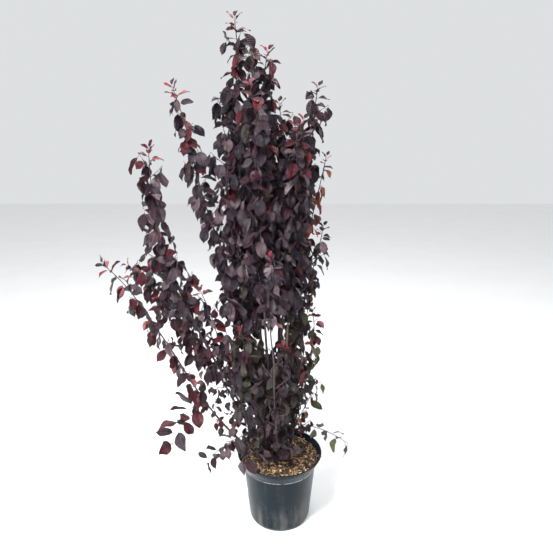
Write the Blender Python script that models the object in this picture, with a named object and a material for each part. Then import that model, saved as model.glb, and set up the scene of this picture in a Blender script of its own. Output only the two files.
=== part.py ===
"""Potted purple-leaved cherry plum: a bushy plant of many upright stems in a round nursery pot.

Metres, +Z up. The origin is the centre of the pot's flat underside. The plant's front faces -Y.
Every stem is a tapering limb that rises from the soil to the height where its foliage starts. From there a
mass of foliage takes over: the stem's upper stretch, side twigs that branch by a seeded rule, and leaves.
Each mass keeps to the space that lies nearer to its own stem than to any other mass's stem.
"""
import math
import random
from collections import namedtuple

import bmesh
import bpy
from mathutils import Matrix, Vector
from mathutils.bvhtree import BVHTree
from mathutils.kdtree import KDTree

# Driving dimensions of the pot
POT_HEIGHT = 0.293
RIM_RADIUS = 0.170
COLLAR_HEIGHT = 0.052
COLLAR_FOOT_RADIUS = 0.1475
BODY_TOP_RADIUS = 0.1445
BODY_FOOT_RADIUS = 0.1232
FOOT_CHAMFER = 0.006
FOOT_CHAMFER_HEIGHT = 0.013
WALL = 0.0028
FLOOR = 0.004
LIP_WIDTH = 0.0045
LIP_DEPTH = 0.006
POT_SEGMENTS = 32
DRAIN_HOLES = 6
DRAIN_RADIUS = 0.008
DRAIN_CIRCLE = 0.088
DRAIN_SEGMENTS = 8

# Driving dimensions of the soil. GAP is what every touching piece keeps to its neighbour.
GAP = 0.0003
SOIL_TOP = 0.276
SOIL_EDGE_DROP = 0.006
SOIL_CROWN_RADIUS = 0.105

# Driving dimensions of the limbs
ROOT_FLARE = 0.35
ROOT_FLARE_HEIGHT = 0.035
LIMB_SIDES = 5
LIMB_STEP = 0.13
LIMB_CLEARANCE = 0.0022
RIM_CLEARANCE = 0.004
SWAY_TURNS = 5.5 * math.pi
STEM_TAPER = 0.9

# Driving dimensions of a mass's stem and twigs
STEM_TIP_RADIUS = 0.0026
STEM_STEP = 0.13
TWIG_STEP = 0.125
TWIG_RADIUS = 0.0030
TWIG_TIP_RADIUS = 0.0024
TWIG_TAPER = 0.85
TWIG_SHARE = 0.75
TWIG_SIDES = 3
TWIG_LONGER_BELOW = 1.15
TWIG_SHORTER_ABOVE = 0.65
TWIG_VARIES = (0.75, 1.15)
TWIG_SPREAD = (40, 58)
SPRIG_POINTS = 4
GOLDEN_ANGLE = math.radians(137.5)

# Driving dimensions of a leaf, as shares of its length, and how it is carried, in degrees
LEAF_WIDTH_SHARE = 0.66
LEAF_WIDEST_AT = 0.52
LEAF_FOLD = 0.04
LEAF_KEEL_AT = 0.16
LEAF_KEEL_DEPTH = 0.035
LEAF_HANG = 60
LEAF_HANG_SPREAD = 14
LEAF_TIP_RISE = 70
LEAF_TWIST = 42
LEAF_VARIES = (0.88, 1.10)
LEAF_SUNK = 0.0028
ROOT_ALLOWANCE = 0.001
TIP_LEAF_SUNK = 0.006
TIP_LEAF_SHARE = 0.6
TIP_LEAF_LOSS = 0.35
TIP_FROM = 0.85

# How the leaves are dealt out, and how one that doesn't fit is tried again
LEAVES_PER_TWIG = 3
TWIG_LEAF_FROM = 0.42
TWIG_LEAF_STEP = 0.26
FIRST_LEAF = 0.02
LEAVES_REACH = 0.95
CROWDING = 0.75
LEAF_ATTEMPTS = 12
LEAF_TURN = 0.9
LEAF_SHRINK = 0.015
LEAF_CLOSEST = 0.93
SPACE_MARGIN = 0.0022
TREE_STEP = 0.01
GREEN_MASSES = ("green_right", "sprig_green", "sprig_right")

# A stem: its foot on the soil and its tip, its lean at both ends in degrees off the vertical, how far it sways,
# its radius at the foot, the height where its foliage starts, the lengths of its twigs and leaves, and how many
# leaves its mass is given.
Stem = namedtuple("Stem", "name foot tip lean_foot lean_tip sway radius bare twig leaf leaves")

STEMS = (
    Stem("leader_left", (-0.02, -0.006), (-0.146, -0.01, 1.875), 13, -7, 0.022, 0.007, 0.84, 0.058, 0.1, 52),
    Stem("leader_centre", (-0.014, 0.016), (-0.046, 0.03, 1.78), 14, -2, -0.012, 0.0068, 0.96, 0.055, 0.098, 38),
    Stem("leader_right", (0.008, 0.004), (0.124, 0.01, 1.665), -2, 14, 0.008, 0.0066, 0.97, 0.05, 0.094, 34),
    Stem("crown_front", (-0.006, -0.026), (-0.09, -0.11, 1.665), 9, 4, 0.01, 0.0062, 0.96, 0.055, 0.098, 34),
    Stem("crown_front_right", (0.018, -0.016), (0.052, -0.095, 1.54), 2, 6, 0.008, 0.006, 0.92, 0.05, 0.098, 30),
    Stem("crown_back", (0.002, 0.04), (0.0, 0.15, 1.62), 5, 6, 0.01, 0.0062, 0.94, 0.055, 0.1, 30),
    Stem("crown_back_left", (-0.022, 0.038), (-0.15, 0.11, 1.56), 6, 5, 0.01, 0.006, 0.84, 0.055, 0.1, 33),
    Stem("crown_back_right", (0.024, 0.026), (0.082, 0.11, 1.56), 4, 4, -0.01, 0.006, 0.92, 0.05, 0.098, 28),
    Stem("arch_inner", (-0.044, 0.014), (-0.36, 0.03, 1.67), 3, 12, 0.01, 0.006, 0.84, 0.045, 0.098, 40),
    Stem("arch_outer", (-0.042, -0.008), (-0.448, -0.03, 1.465), 23, -5, 0.006, 0.0058, 0.84, 0.052, 0.1, 41),
    Stem("spread_left", (-0.06, 0.01), (-0.556, 0.06, 1.04), 29, 50, 0.006, 0.005, 0.62, 0.055, 0.094, 36),
    Stem("reach_left", (-0.064, -0.014), (-0.612, -0.055, 1.072), 55, 42, 0.004, 0.0048, 0.53, 0.028, 0.072, 22),
    Stem("slim_left", (-0.046, -0.032), (-0.284, -0.06, 0.985), 26, 20, 0.004, 0.0038, 0.6, 0.045, 0.084, 18),
    Stem("arch_back", (0.006, 0.062), (-0.01, 0.29, 1.27), 22, 2, 0.01, 0.0056, 0.76, 0.05, 0.096, 26),
    Stem("arch_front", (-0.006, -0.05), (-0.03, -0.23, 1.13), 20, 2, 0.01, 0.0054, 0.74, 0.05, 0.094, 22),
    Stem("slim_right", (0.034, -0.002), (0.15, -0.02, 1.195), -4, 14, 0.004, 0.0036, 0.74, 0.035, 0.08, 16),
    Stem("orange_right", (0.042, 0.016), (0.16, 0.05, 1.435), 3, 16, 0.004, 0.004, 1.0, 0.03, 0.07, 14),
    Stem("green_right", (0.04, -0.022), (0.121, -0.04, 0.895), 2, -6, 0.004, 0.0036, 0.5, 0.04, 0.066, 22),
    Stem("low_front", (0.014, -0.042), (0.016, -0.13, 0.78), 8, 14, 0.006, 0.004, 0.46, 0.06, 0.09, 18),
    Stem("low_front_left", (-0.026, -0.036), (-0.14, -0.12, 0.85), 12, 12, 0.006, 0.0042, 0.43, 0.06, 0.092, 22),
    Stem("low_back", (0.03, 0.05), (0.06, 0.17, 0.84), 10, 12, 0.006, 0.0042, 0.46, 0.06, 0.09, 18),
    Stem("low_back_left", (-0.024, 0.062), (-0.16, 0.15, 0.85), 12, 12, 0.006, 0.0042, 0.43, 0.06, 0.092, 22),
)

# A sprig: a small mass that leaves a limb's side low down. height is where it leaves, rise how far its middle
# stands above the straight line to its tip.
Sprig = namedtuple("Sprig", "name limb height tip rise radius leaf leaves")

SPRIGS = (
    Sprig("sprig_right", "green_right", 0.43, (0.272, -0.03, 0.345), 0.02, 0.0028, 0.05, 8),
    Sprig("sprig_green", "green_right", 0.395, (0.138, 0.05, 0.53), 0.01, 0.0028, 0.048, 5),
    Sprig("sprig_left", "slim_left", 0.4, (-0.285, -0.11, 0.318), 0.02, 0.0028, 0.054, 8),
    Sprig("sprig_hanging", "reach_left", 0.5, (-0.436, -0.03, 0.33), 0.08, 0.0028, 0.08, 9),
    Sprig("sprig_rim", "low_front_left", 0.335, (-0.14, -0.14, 0.35), 0.01, 0.0028, 0.072, 7),
    Sprig("sprig_foot", "low_front", 0.345, (0.045, -0.12, 0.372), 0.006, 0.0026, 0.05, 5),
)


def clear_scene():
    """Removes every object of the startup scene."""
    for old in list(bpy.data.objects):
        bpy.data.objects.remove(old, do_unlink=True)


def material(name, colour, roughness):
    """A Principled material with a plain colour."""
    made = bpy.data.materials.new(name)
    made.use_nodes = True
    shader = made.node_tree.nodes["Principled BSDF"]
    shader.inputs["Base Color"].default_value = (*colour, 1.0)
    shader.inputs["Roughness"].default_value = roughness
    shader.inputs["Metallic"].default_value = 0.0
    return made


def add_object(name, bm, finish, collection=None, smooth_under=0):
    """Turns a bmesh into a named object. Edges that bend by less than smooth_under degrees are shaded smooth."""
    mesh = bpy.data.meshes.new(name)
    bmesh.ops.recalc_face_normals(bm, faces=bm.faces)
    bm.to_mesh(mesh)
    bm.free()
    if smooth_under:
        mesh.shade_smooth()
        mesh.set_sharp_from_angle(angle=math.radians(smooth_under))
    made = bpy.data.objects.new(name, mesh)
    made.data.materials.append(finish)
    (collection or bpy.context.scene.collection).objects.link(made)
    return made


# Pot and soil

def turned(profile, segments):
    """A closed body turned from a profile of (radius, height) points, with a flat disc at each end of it."""
    bm = bmesh.new()
    rings = []
    for radius, height in profile:
        turn = (2 * math.pi * i / segments for i in range(segments))
        rings.append([bm.verts.new((radius * math.cos(a), radius * math.sin(a), height)) for a in turn])
    for lower, upper in zip(rings, rings[1:]):
        for i in range(segments):
            j = (i + 1) % segments
            bm.faces.new((lower[i], lower[j], upper[j], upper[i]))
    bm.faces.new(list(reversed(rings[0])))
    bm.faces.new(rings[-1])
    return bm


def wall_radius(height):
    """The pot's outer radius at a height, between its foot and the top of its collar."""
    collar_foot = POT_HEIGHT - COLLAR_HEIGHT
    if height <= collar_foot:
        share = (height - FOOT_CHAMFER_HEIGHT) / (collar_foot - FOOT_CHAMFER_HEIGHT)
        return BODY_FOOT_RADIUS + (BODY_TOP_RADIUS - BODY_FOOT_RADIUS) * share
    share = (height - collar_foot) / COLLAR_HEIGHT
    return COLLAR_FOOT_RADIUS + (RIM_RADIUS - LIP_WIDTH + WALL - COLLAR_FOOT_RADIUS) * share


def make_pot(finish):
    """The nursery pot: a tapering body, a flared collar with a lip, a flat floor and drain holes."""
    collar_foot = POT_HEIGHT - COLLAR_HEIGHT
    lip_foot = POT_HEIGHT - LIP_DEPTH
    outside = [
        (BODY_FOOT_RADIUS - FOOT_CHAMFER, 0),
        (BODY_FOOT_RADIUS, FOOT_CHAMFER_HEIGHT),
        (BODY_TOP_RADIUS, collar_foot - WALL),
        (COLLAR_FOOT_RADIUS, collar_foot),
        (wall_radius(lip_foot), lip_foot),
        (RIM_RADIUS, lip_foot + WALL / 2),
        (RIM_RADIUS, POT_HEIGHT),
    ]
    inside = [
        (RIM_RADIUS - LIP_WIDTH, POT_HEIGHT),
        (COLLAR_FOOT_RADIUS - WALL, collar_foot + WALL),
        (BODY_TOP_RADIUS - WALL, collar_foot),
        (wall_radius(FLOOR + FOOT_CHAMFER_HEIGHT) - WALL, FLOOR + FOOT_CHAMFER_HEIGHT),
        (BODY_FOOT_RADIUS - FOOT_CHAMFER - WALL, FLOOR),
    ]
    pot = add_object("pot", turned(outside + inside, POT_SEGMENTS), finish, smooth_under=30)
    for index in range(DRAIN_HOLES):
        turn = 2 * math.pi * (index + 0.5) / DRAIN_HOLES
        bm = bmesh.new()
        place = Matrix.Translation((DRAIN_CIRCLE * math.cos(turn), DRAIN_CIRCLE * math.sin(turn), FLOOR / 2))
        bmesh.ops.create_cone(
            bm,
            cap_ends=True,
            segments=DRAIN_SEGMENTS,
            radius1=DRAIN_RADIUS,
            radius2=DRAIN_RADIUS,
            depth=4 * FLOOR,
            matrix=place,
        )
        cutter = add_object(f"drain_cutter_{index}", bm, finish)
        cutter.hide_render = True
        cutter.display_type = "WIRE"
        cut = pot.modifiers.new(f"drain_{index}", "BOOLEAN")
        cut.operation = "DIFFERENCE"
        cut.object = cutter
    return pot


def make_soil(finish):
    """The compost that fills the pot up to just under the rim, with a flat crown where the stems stand."""
    edge = SOIL_TOP - SOIL_EDGE_DROP
    collar_foot = POT_HEIGHT - COLLAR_HEIGHT
    share = (edge - collar_foot - WALL) / (COLLAR_HEIGHT - WALL)
    inner_collar = COLLAR_FOOT_RADIUS - WALL
    edge_radius = inner_collar + (RIM_RADIUS - LIP_WIDTH - inner_collar) * share
    clear = 3 * GAP
    profile = [
        (BODY_FOOT_RADIUS - FOOT_CHAMFER - WALL - clear, FLOOR + GAP),
        (wall_radius(FLOOR + FOOT_CHAMFER_HEIGHT) - WALL - clear, FLOOR + FOOT_CHAMFER_HEIGHT),
        (BODY_TOP_RADIUS - WALL - clear, collar_foot + clear / 2),
        (inner_collar - clear, collar_foot + WALL + clear / 2),
        (edge_radius - clear, edge),
        (SOIL_CROWN_RADIUS, SOIL_TOP),
    ]
    return add_object("soil", turned(profile, POT_SEGMENTS), finish, smooth_under=30)


# Limbs

def leaning(azimuth, lean):
    """A direction that leans from the vertical towards an azimuth, by an angle in degrees."""
    lean = math.radians(lean)
    return Vector((math.sin(lean) * math.cos(azimuth), math.sin(lean) * math.sin(azimuth), math.cos(lean)))


def stem_curve(stem):
    """A function from 0 at the foot to 1 at the tip, which gives a point of the stem's centre line."""
    foot = Vector((*stem.foot, SOIL_TOP + GAP))
    tip = Vector(stem.tip)
    azimuth = math.atan2(tip.y - foot.y, tip.x - foot.x)
    handle = (tip - foot).length / 3
    first = foot + leaning(azimuth, stem.lean_foot) * handle
    second = tip - leaning(azimuth, stem.lean_tip) * handle

    def point(t):
        s = 1 - t
        on = foot * s**3 + first * (3 * s * s * t) + second * (3 * s * t * t) + tip * t**3
        wave = stem.sway * t * t * math.sin(SWAY_TURNS * (1 - t))
        return on + Vector((wave, wave * math.cos(3 * t) / 2, 0))

    return point


def tangent(curve, t):
    """The direction of a curve at a share of its length."""
    step = 0.002
    return (curve(min(1, t + step)) - curve(max(0, t - step))).normalized()


def at_height(curve, height):
    """The share of a rising curve where it passes a height, by halving."""
    low, high = 0.0, 1.0
    for _ in range(30):
        middle = (low + high) / 2
        if curve(middle).z < height:
            low = middle
        else:
            high = middle
    return low


def stem_radius(stem, t):
    """The radius of a stem at a share of its length, with the flare at its root."""
    above = (stem.tip[2] - SOIL_TOP) * t
    flare = 1 + ROOT_FLARE * max(0.0, 1 - above / ROOT_FLARE_HEIGHT) ** 2
    return (stem.radius + (STEM_TIP_RADIUS - stem.radius) * t**STEM_TAPER) * flare


def tube(points, radii, sides, first_axis=None, last_axis=None):
    """A closed tapering tube along a line of points. Its flat ends face along the axes that are given."""
    bm = bmesh.new()
    across = None
    rings = []
    last = len(points) - 1
    for i, (centre, radius) in enumerate(zip(points, radii)):
        ahead = (points[min(i + 1, last)] - points[max(i - 1, 0)]).normalized()
        if i == 0 and first_axis:
            ahead = first_axis
        if i == last and last_axis:
            ahead = last_axis
        across = across or ahead.orthogonal()
        across = (across - ahead * across.dot(ahead)).normalized()
        other = ahead.cross(across)
        turn = (2 * math.pi * k / sides for k in range(sides))
        ring = [centre + (across * math.cos(a) + other * math.sin(a)) * radius for a in turn]
        rings.append([bm.verts.new(corner) for corner in ring])
    for lower, upper in zip(rings, rings[1:]):
        for k in range(sides):
            j = (k + 1) % sides
            bm.faces.new((lower[k], lower[j], upper[j], upper[k]))
    bm.faces.new(list(reversed(rings[0])))
    bm.faces.new(rings[-1])
    bmesh.ops.triangulate(bm, faces=[f for f in bm.faces if len(f.verts) == 4])
    return bm


def samples(curve, start, end, step):
    """Shares of a curve from one share to another, evenly spread, so that their points are about a step apart."""
    probes = [curve(start + (end - start) * k / 16) for k in range(17)]
    length = sum((b - a).length for a, b in zip(probes, probes[1:]))
    count = max(2, round(length / step) + 1)
    return [start + (end - start) * k / (count - 1) for k in range(count)]


def make_limb(stem, curve, end, finish):
    """The bare lower stretch of a stem, from its flat foot on the soil to where the foliage starts."""
    flare_end = at_height(curve, SOIL_TOP + ROOT_FLARE_HEIGHT)
    shares = [0, flare_end / 3] + samples(curve, flare_end, end, LIMB_STEP)
    points = [curve(t) for t in shares]
    radii = [stem_radius(stem, t) for t in shares]
    foot_axis = Vector((0, 0, 1))
    body = tube(points, radii, LIMB_SIDES, foot_axis, tangent(curve, end))
    surface = BVHTree.FromBMesh(body)
    guard = tube(points, [r + LIMB_CLEARANCE for r in radii], LIMB_SIDES, foot_axis)
    return add_object(f"stem_{stem.name}", body, finish, smooth_under=80), surface, guard


# Foliage

# A mass of foliage before its leaves: the line of its stem with the radius at each point, the axis that its
# flat end faces along, and the lengths of its twigs and leaves.
Mass = namedtuple("Mass", "name points radii first_axis twig leaf leaves")
Twig = namedtuple("Twig", "points radii")


def mass_on_limb(stem, curve, start):
    """The mass that carries on from the end of a stem's limb, a gap above it."""
    shares = samples(curve, start, 1.0, STEM_STEP)
    points = [curve(t) for t in shares]
    axis = tangent(curve, start)
    points[0] = points[0] + axis * GAP
    radii = [max(stem_radius(stem, t), STEM_TIP_RADIUS) for t in shares]
    return Mass(stem.name, points, radii, axis, stem.twig, stem.leaf, stem.leaves)


def mass_on_side(sprig, centre, surface):
    """The small mass of a sprig, which stands a gap clear of the side of its limb."""
    tip = Vector(sprig.tip)
    outward = tip - centre
    outward.z = 0
    place, axis, _, _ = surface.ray_cast(centre, outward.normalized())
    start = place + axis * GAP
    points = []
    radii = []
    for k in range(SPRIG_POINTS):
        t = k / (SPRIG_POINTS - 1)
        points.append(start.lerp(tip, t) + Vector((0, 0, 4 * sprig.rise * t * (1 - t))))
        radii.append(sprig.radius + (TWIG_TIP_RADIUS - sprig.radius) * t)
    return Mass(sprig.name, points, radii, axis, 0, sprig.leaf, sprig.leaves)


def on_line(points, radii, share):
    """The point, the direction and the radius at a share from 0 to 1 of a line of evenly spread points."""
    place = share * (len(points) - 1)
    index = min(int(place), len(points) - 2)
    part = place - index
    axis = (points[index + 1] - points[index]).normalized()
    radius = radii[index] + (radii[index + 1] - radii[index]) * part
    return points[index].lerp(points[index + 1], part), axis, radius


def line_tree(points):
    """A search tree over points spread densely along a line."""
    dense = []
    for a, b in zip(points, points[1:]):
        count = max(1, round((b - a).length / TREE_STEP))
        dense += [a.lerp(b, k / count) for k in range(count)]
    dense.append(points[-1])
    tree = KDTree(len(dense))
    for index, point in enumerate(dense):
        tree.insert(point, index)
    tree.balance()
    return tree


class Spaces:
    """Says whether a shape keeps to its mass's space and clear of every limb."""

    def __init__(self, masses, guards):
        self.trees = {}
        for mass in masses:
            self.trees[mass.name] = line_tree(mass.points)
        joined = bmesh.new()
        for guard in guards:
            scratch = bpy.data.meshes.new("guard")
            guard.to_mesh(scratch)
            joined.from_mesh(scratch)
            bpy.data.meshes.remove(scratch)
            guard.free()
        self.limbs = BVHTree.FromBMesh(joined)
        joined.free()

    def keeps_own(self, name, points):
        """True if every point lies nearer to the mass's own stem than to any other mass's stem."""
        for point in points:
            own = self.trees[name].find(point)[2]
            for other, tree in self.trees.items():
                if other != name and tree.find(point)[2] < own + 2 * SPACE_MARGIN:
                    return False
        return True

    def clear_of_limbs(self, bm):
        """True if a shape stays off every limb by the limb clearance."""
        return not BVHTree.FromBMesh(bm).overlap(self.limbs)


def above_pot(points):
    """True if every point is clear above the soil and the rim, or outside the pot."""
    for point in points:
        reach = math.hypot(point.x, point.y)
        if reach < RIM_RADIUS + RIM_CLEARANCE and point.z < POT_HEIGHT + RIM_CLEARANCE:
            if reach > BODY_FOOT_RADIUS or point.z < SOIL_TOP + RIM_CLEARANCE:
                return False
    return True


def frame_along(direction, facing):
    """A rotation whose X runs along a direction and whose Z leans towards facing."""
    x = direction.normalized()
    z = (facing - x * facing.dot(x)).normalized()
    y = z.cross(x)
    return Matrix((x, y, z)).transposed().to_4x4()


def leaf_body(root, direction, facing, length):
    """A leaf of six faces: a blade with a keel under it, which runs to a point at its root."""
    half = length * LEAF_WIDTH_SHARE / 2
    lift = length * LEAF_FOLD
    corners = [
        (0, 0, 0),
        (length * LEAF_WIDEST_AT, half, lift),
        (length * LEAF_WIDEST_AT, -half, lift),
        (length, 0, -lift),
        (length * LEAF_KEEL_AT, 0, -length * LEAF_KEEL_DEPTH),
    ]
    root_point, side_left, side_right, tip, keel = range(5)
    faces = [
        (root_point, side_right, side_left),
        (side_left, side_right, tip),
        (root_point, side_left, keel),
        (root_point, keel, side_right),
        (keel, side_left, tip),
        (keel, tip, side_right),
    ]
    bm = bmesh.new()
    place = Matrix.Translation(root) @ frame_along(direction, facing)
    verts = [bm.verts.new(place @ Vector(c)) for c in corners]
    for face in faces:
        bm.faces.new([verts[i] for i in face])
    return bm


class Clearance:
    """Says whether a leaf is clear of everything that its mass already holds."""

    def __init__(self):
        self.trees = []

    def add(self, bm):
        """Adds a shape. The mass's own stem is the first, and its twigs follow in their order."""
        self.trees.append(BVHTree.FromBMesh(bm))

    def allows(self, leaf, blade, carrier):
        """True if the leaf meets nothing but its carrier, and meets its carrier only below its blade."""
        whole = BVHTree.FromBMesh(leaf)
        outer = BVHTree.FromBMesh(blade)
        for number, tree in enumerate(self.trees):
            probe = outer if number == carrier else whole
            if probe.overlap(tree):
                return False
        return True


def leaf_direction(axis, azimuth, share, rng):
    """Where a leaf points and faces: it hangs outwards low on a shoot and stands up near the tip."""
    side = axis.orthogonal().normalized()
    side.rotate(Matrix.Rotation(azimuth, 3, axis))
    rise = LEAF_TIP_RISE * max(0.0, share - TIP_FROM) / (1 - TIP_FROM)
    hang = math.radians(LEAF_HANG - rise + rng.uniform(-LEAF_HANG_SPREAD, LEAF_HANG_SPREAD))
    down = Vector((0, 0, -1))
    direction = (side * math.cos(hang) + down * math.sin(hang)).normalized()
    facing = side * math.sin(hang) - down * math.cos(hang)
    facing.rotate(Matrix.Rotation(math.radians(rng.uniform(-LEAF_TWIST, LEAF_TWIST)), 3, direction))
    return direction, facing


def grow_twigs(mass):
    """The seeded rule of the side twigs: each a golden angle round from the last, and shorter towards the tip."""
    rng = random.Random(f"twigs of {mass.name}")
    twigs = []
    if mass.twig == 0:
        return twigs
    count = round((mass.points[-1] - mass.points[0]).length / TWIG_STEP)
    turn = rng.uniform(0, 2 * math.pi)
    for i in range(1, count):
        turn += GOLDEN_ANGLE
        along = i / count
        base, axis, radius = on_line(mass.points, mass.radii, along)
        side = axis.orthogonal().normalized()
        side.rotate(Matrix.Rotation(turn, 3, axis))
        length = mass.twig * (TWIG_LONGER_BELOW - TWIG_SHORTER_ABOVE * along) * rng.uniform(*TWIG_VARIES)
        spread = math.radians(rng.uniform(*TWIG_SPREAD))
        heading = axis * math.cos(spread) + side * math.sin(spread)
        thick = min(TWIG_RADIUS, radius * TWIG_SHARE)
        twigs.append(Twig([base, base + heading * length], [thick, thick * TWIG_TAPER]))
    return twigs


def leaf_places(mass, twigs):
    """Where the leaves may stand, in the order in which they are tried.

    Each place is its carrier's number, the root, the carrier's axis and radius there, the turn round the axis and
    the share of the mass's length.
    """
    rng = random.Random(f"leaf places of {mass.name}")
    places = []
    on_stem = max(4, mass.leaves - LEAVES_PER_TWIG * len(twigs))
    turn = rng.uniform(0, 2 * math.pi)
    for i in range(on_stem):
        share = ((i + 0.5) / on_stem) ** CROWDING
        root, axis, radius = on_line(mass.points, mass.radii, FIRST_LEAF + LEAVES_REACH * share)
        turn += GOLDEN_ANGLE
        places.append((0, root, axis, radius, turn, share))
    for index, twig in enumerate(twigs):
        share = (index + 1) / (len(twigs) + 1)
        for leaf in range(LEAVES_PER_TWIG):
            turn += GOLDEN_ANGLE
            root, axis, radius = on_line(twig.points, twig.radii, TWIG_LEAF_FROM + TWIG_LEAF_STEP * leaf)
            places.append((index + 1, root, axis, radius, turn, share))
    return places


def sunk_root(root, axis, radius, direction):
    """Moves a leaf's root out from the centre line, to where it is sunk by its own depth in the wood."""
    outward = direction - axis * direction.dot(axis)
    shift = radius * math.cos(math.pi / TWIG_SIDES) - LEAF_SUNK
    return root + outward.normalized() * max(0.0, shift)


def blade_points(body):
    """Points of a leaf that have to keep to its mass's space: its corners off the root, and between them."""
    side_left, side_right, tip = [v.co.copy() for v in body.verts][1:4]
    corners = [side_left, side_right, tip]
    return corners + [(side_left + tip) / 2, (side_right + tip) / 2, (side_left + side_right) / 2]


def keep_largest_piece(mesh):
    """Drops the loose scraps and the sealed hollows of a joined mesh."""
    bm = bmesh.new()
    bm.from_mesh(mesh)
    left = set(bm.faces)
    pieces = []
    while left:
        piece = []
        edge_of_search = [left.pop()]
        while edge_of_search:
            face = edge_of_search.pop()
            piece.append(face)
            for edge in face.edges:
                for neighbour in edge.link_faces:
                    if neighbour in left:
                        left.remove(neighbour)
                        edge_of_search.append(neighbour)
        pieces.append(piece)
    pieces.sort(key=len)
    for piece in pieces[:-1]:
        bmesh.ops.delete(bm, geom=piece, context="FACES")
    bm.to_mesh(mesh)
    bm.free()
    return len(pieces) - 1


def add_leaf(place, mass, spaces, held, rng, name, finish, helpers):
    """Tries a leaf at a place, turned and shrunk a little more each time. Says whether one has found room."""
    carrier, root, axis, radius, azimuth, share = place
    taper = 1.0 - TIP_LEAF_LOSS * max(0.0, share - TIP_FROM) / (1 - TIP_FROM)
    size = mass.leaf * taper * rng.uniform(*LEAF_VARIES)
    for attempt in range(LEAF_ATTEMPTS):
        direction, facing = leaf_direction(axis, azimuth + attempt * LEAF_TURN, share, rng)
        along = direction.dot(axis)
        if abs(along) > LEAF_CLOSEST:
            continue
        start = sunk_root(root, axis, radius, direction)
        buried = (radius / 2 + LEAF_SUNK + ROOT_ALLOWANCE) / math.sqrt(1 - along * along)
        length = size * (1 - LEAF_SHRINK * attempt)
        body = leaf_body(start, direction, facing, length)
        blade = leaf_body(start + direction * buried, direction, facing, length - buried)
        points = blade_points(body)
        inside = spaces.keeps_own(mass.name, points) and above_pot(points)
        fits = inside and spaces.clear_of_limbs(body) and held.allows(body, blade, carrier)
        blade.free()
        if fits:
            held.add(body)
            add_object(name, body, finish, helpers)
            return True
        body.free()
    return False


def join_all(made, helpers):
    """Joins every object of a collection to one object, and removes them."""
    join = made.modifiers.new("join", "BOOLEAN")
    join.operation = "UNION"
    join.operand_type = "COLLECTION"
    join.collection = helpers
    join.solver = "MANIFOLD"
    bpy.context.view_layer.update()
    graph = bpy.context.evaluated_depsgraph_get()
    joined = bpy.data.meshes.new_from_object(made.evaluated_get(graph))
    made.modifiers.clear()
    made.data = joined
    dropped = keep_largest_piece(joined)
    for helper in list(helpers.objects):
        bpy.data.objects.remove(helper, do_unlink=True)
    bpy.data.collections.remove(helpers)
    return dropped


def make_mass(mass, spaces, finish):
    """One mass of foliage: its stem, with the twigs and leaves that keep to its space joined to it."""
    helpers = bpy.data.collections.new(f"parts of {mass.name}")
    bpy.context.scene.collection.children.link(helpers)
    held = Clearance()
    body = tube(mass.points, mass.radii, TWIG_SIDES, mass.first_axis)
    held.add(body)
    made = add_object(f"leaves_{mass.name}", body, finish)
    twigs = []
    for index, twig in enumerate(grow_twigs(mass)):
        body = tube(twig.points, twig.radii, TWIG_SIDES)
        kept = spaces.keeps_own(mass.name, twig.points[1:]) and above_pot(twig.points)
        if kept and spaces.clear_of_limbs(body):
            twigs.append(twig)
            held.add(body)
            add_object(f"twig_{index}", body, finish, helpers)
        else:
            body.free()
    end, ahead, _ = on_line(mass.points, mass.radii, 1.0)
    body = leaf_body(end - ahead * TIP_LEAF_SUNK, ahead, ahead.orthogonal(), mass.leaf * TIP_LEAF_SHARE)
    held.add(body)
    add_object("leaf_tip", body, finish, helpers)
    rng = random.Random(f"leaves of {mass.name}")
    count = 1
    for place in leaf_places(mass, twigs):
        if add_leaf(place, mass, spaces, held, rng, f"leaf_{count}", finish, helpers):
            count += 1
    dropped = join_all(made, helpers)
    return made, count, dropped


def main():
    clear_scene()
    plastic = material("nursery pot plastic", (0.020, 0.030, 0.038), 0.45)
    compost = material("compost", (0.100, 0.062, 0.030), 0.95)
    bark = material("dark bark", (0.045, 0.032, 0.036), 0.7)
    purple = material("purple leaves", (0.085, 0.030, 0.045), 0.5)
    green = material("green leaves", (0.070, 0.075, 0.045), 0.5)
    pot = make_pot(plastic)
    soil = make_soil(compost)
    soil.parent = pot
    guards = []
    masses = []
    sides = {}
    for stem in STEMS:
        curve = stem_curve(stem)
        end = at_height(curve, stem.bare)
        limb, surface, guard = make_limb(stem, curve, end, bark)
        limb.parent = pot
        guards.append(guard)
        sides[stem.name] = (curve, surface)
        masses.append(mass_on_limb(stem, curve, end))
    for sprig in SPRIGS:
        curve, surface = sides[sprig.limb]
        masses.append(mass_on_side(sprig, curve(at_height(curve, sprig.height)), surface))
    spaces = Spaces(masses, guards)
    total = 0
    for mass in masses:
        finish = green if mass.name in GREEN_MASSES else purple
        made, count, dropped = make_mass(mass, spaces, finish)
        made.parent = pot
        total += count
        print(f"{made.name}: {count} leaves, {dropped} loose pieces dropped")
    print(f"{total} leaves")


main()
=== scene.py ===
"""The looks of a potted purple-leaved cherry plum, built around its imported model.

Metres, +Z up, in the model's own frame. Every stem follows the same curve as the model's limb of that name.
Its twigs and leaves grow from it by a rule like the model's, with seeds of their own, carried to finer twigs
and to leaves of real size. They reach about as far as the mass that they stand for.
"""

import math
import random
from collections import namedtuple

import bmesh
import bpy
import numpy as np
from mathutils import Matrix, Vector, noise


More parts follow.
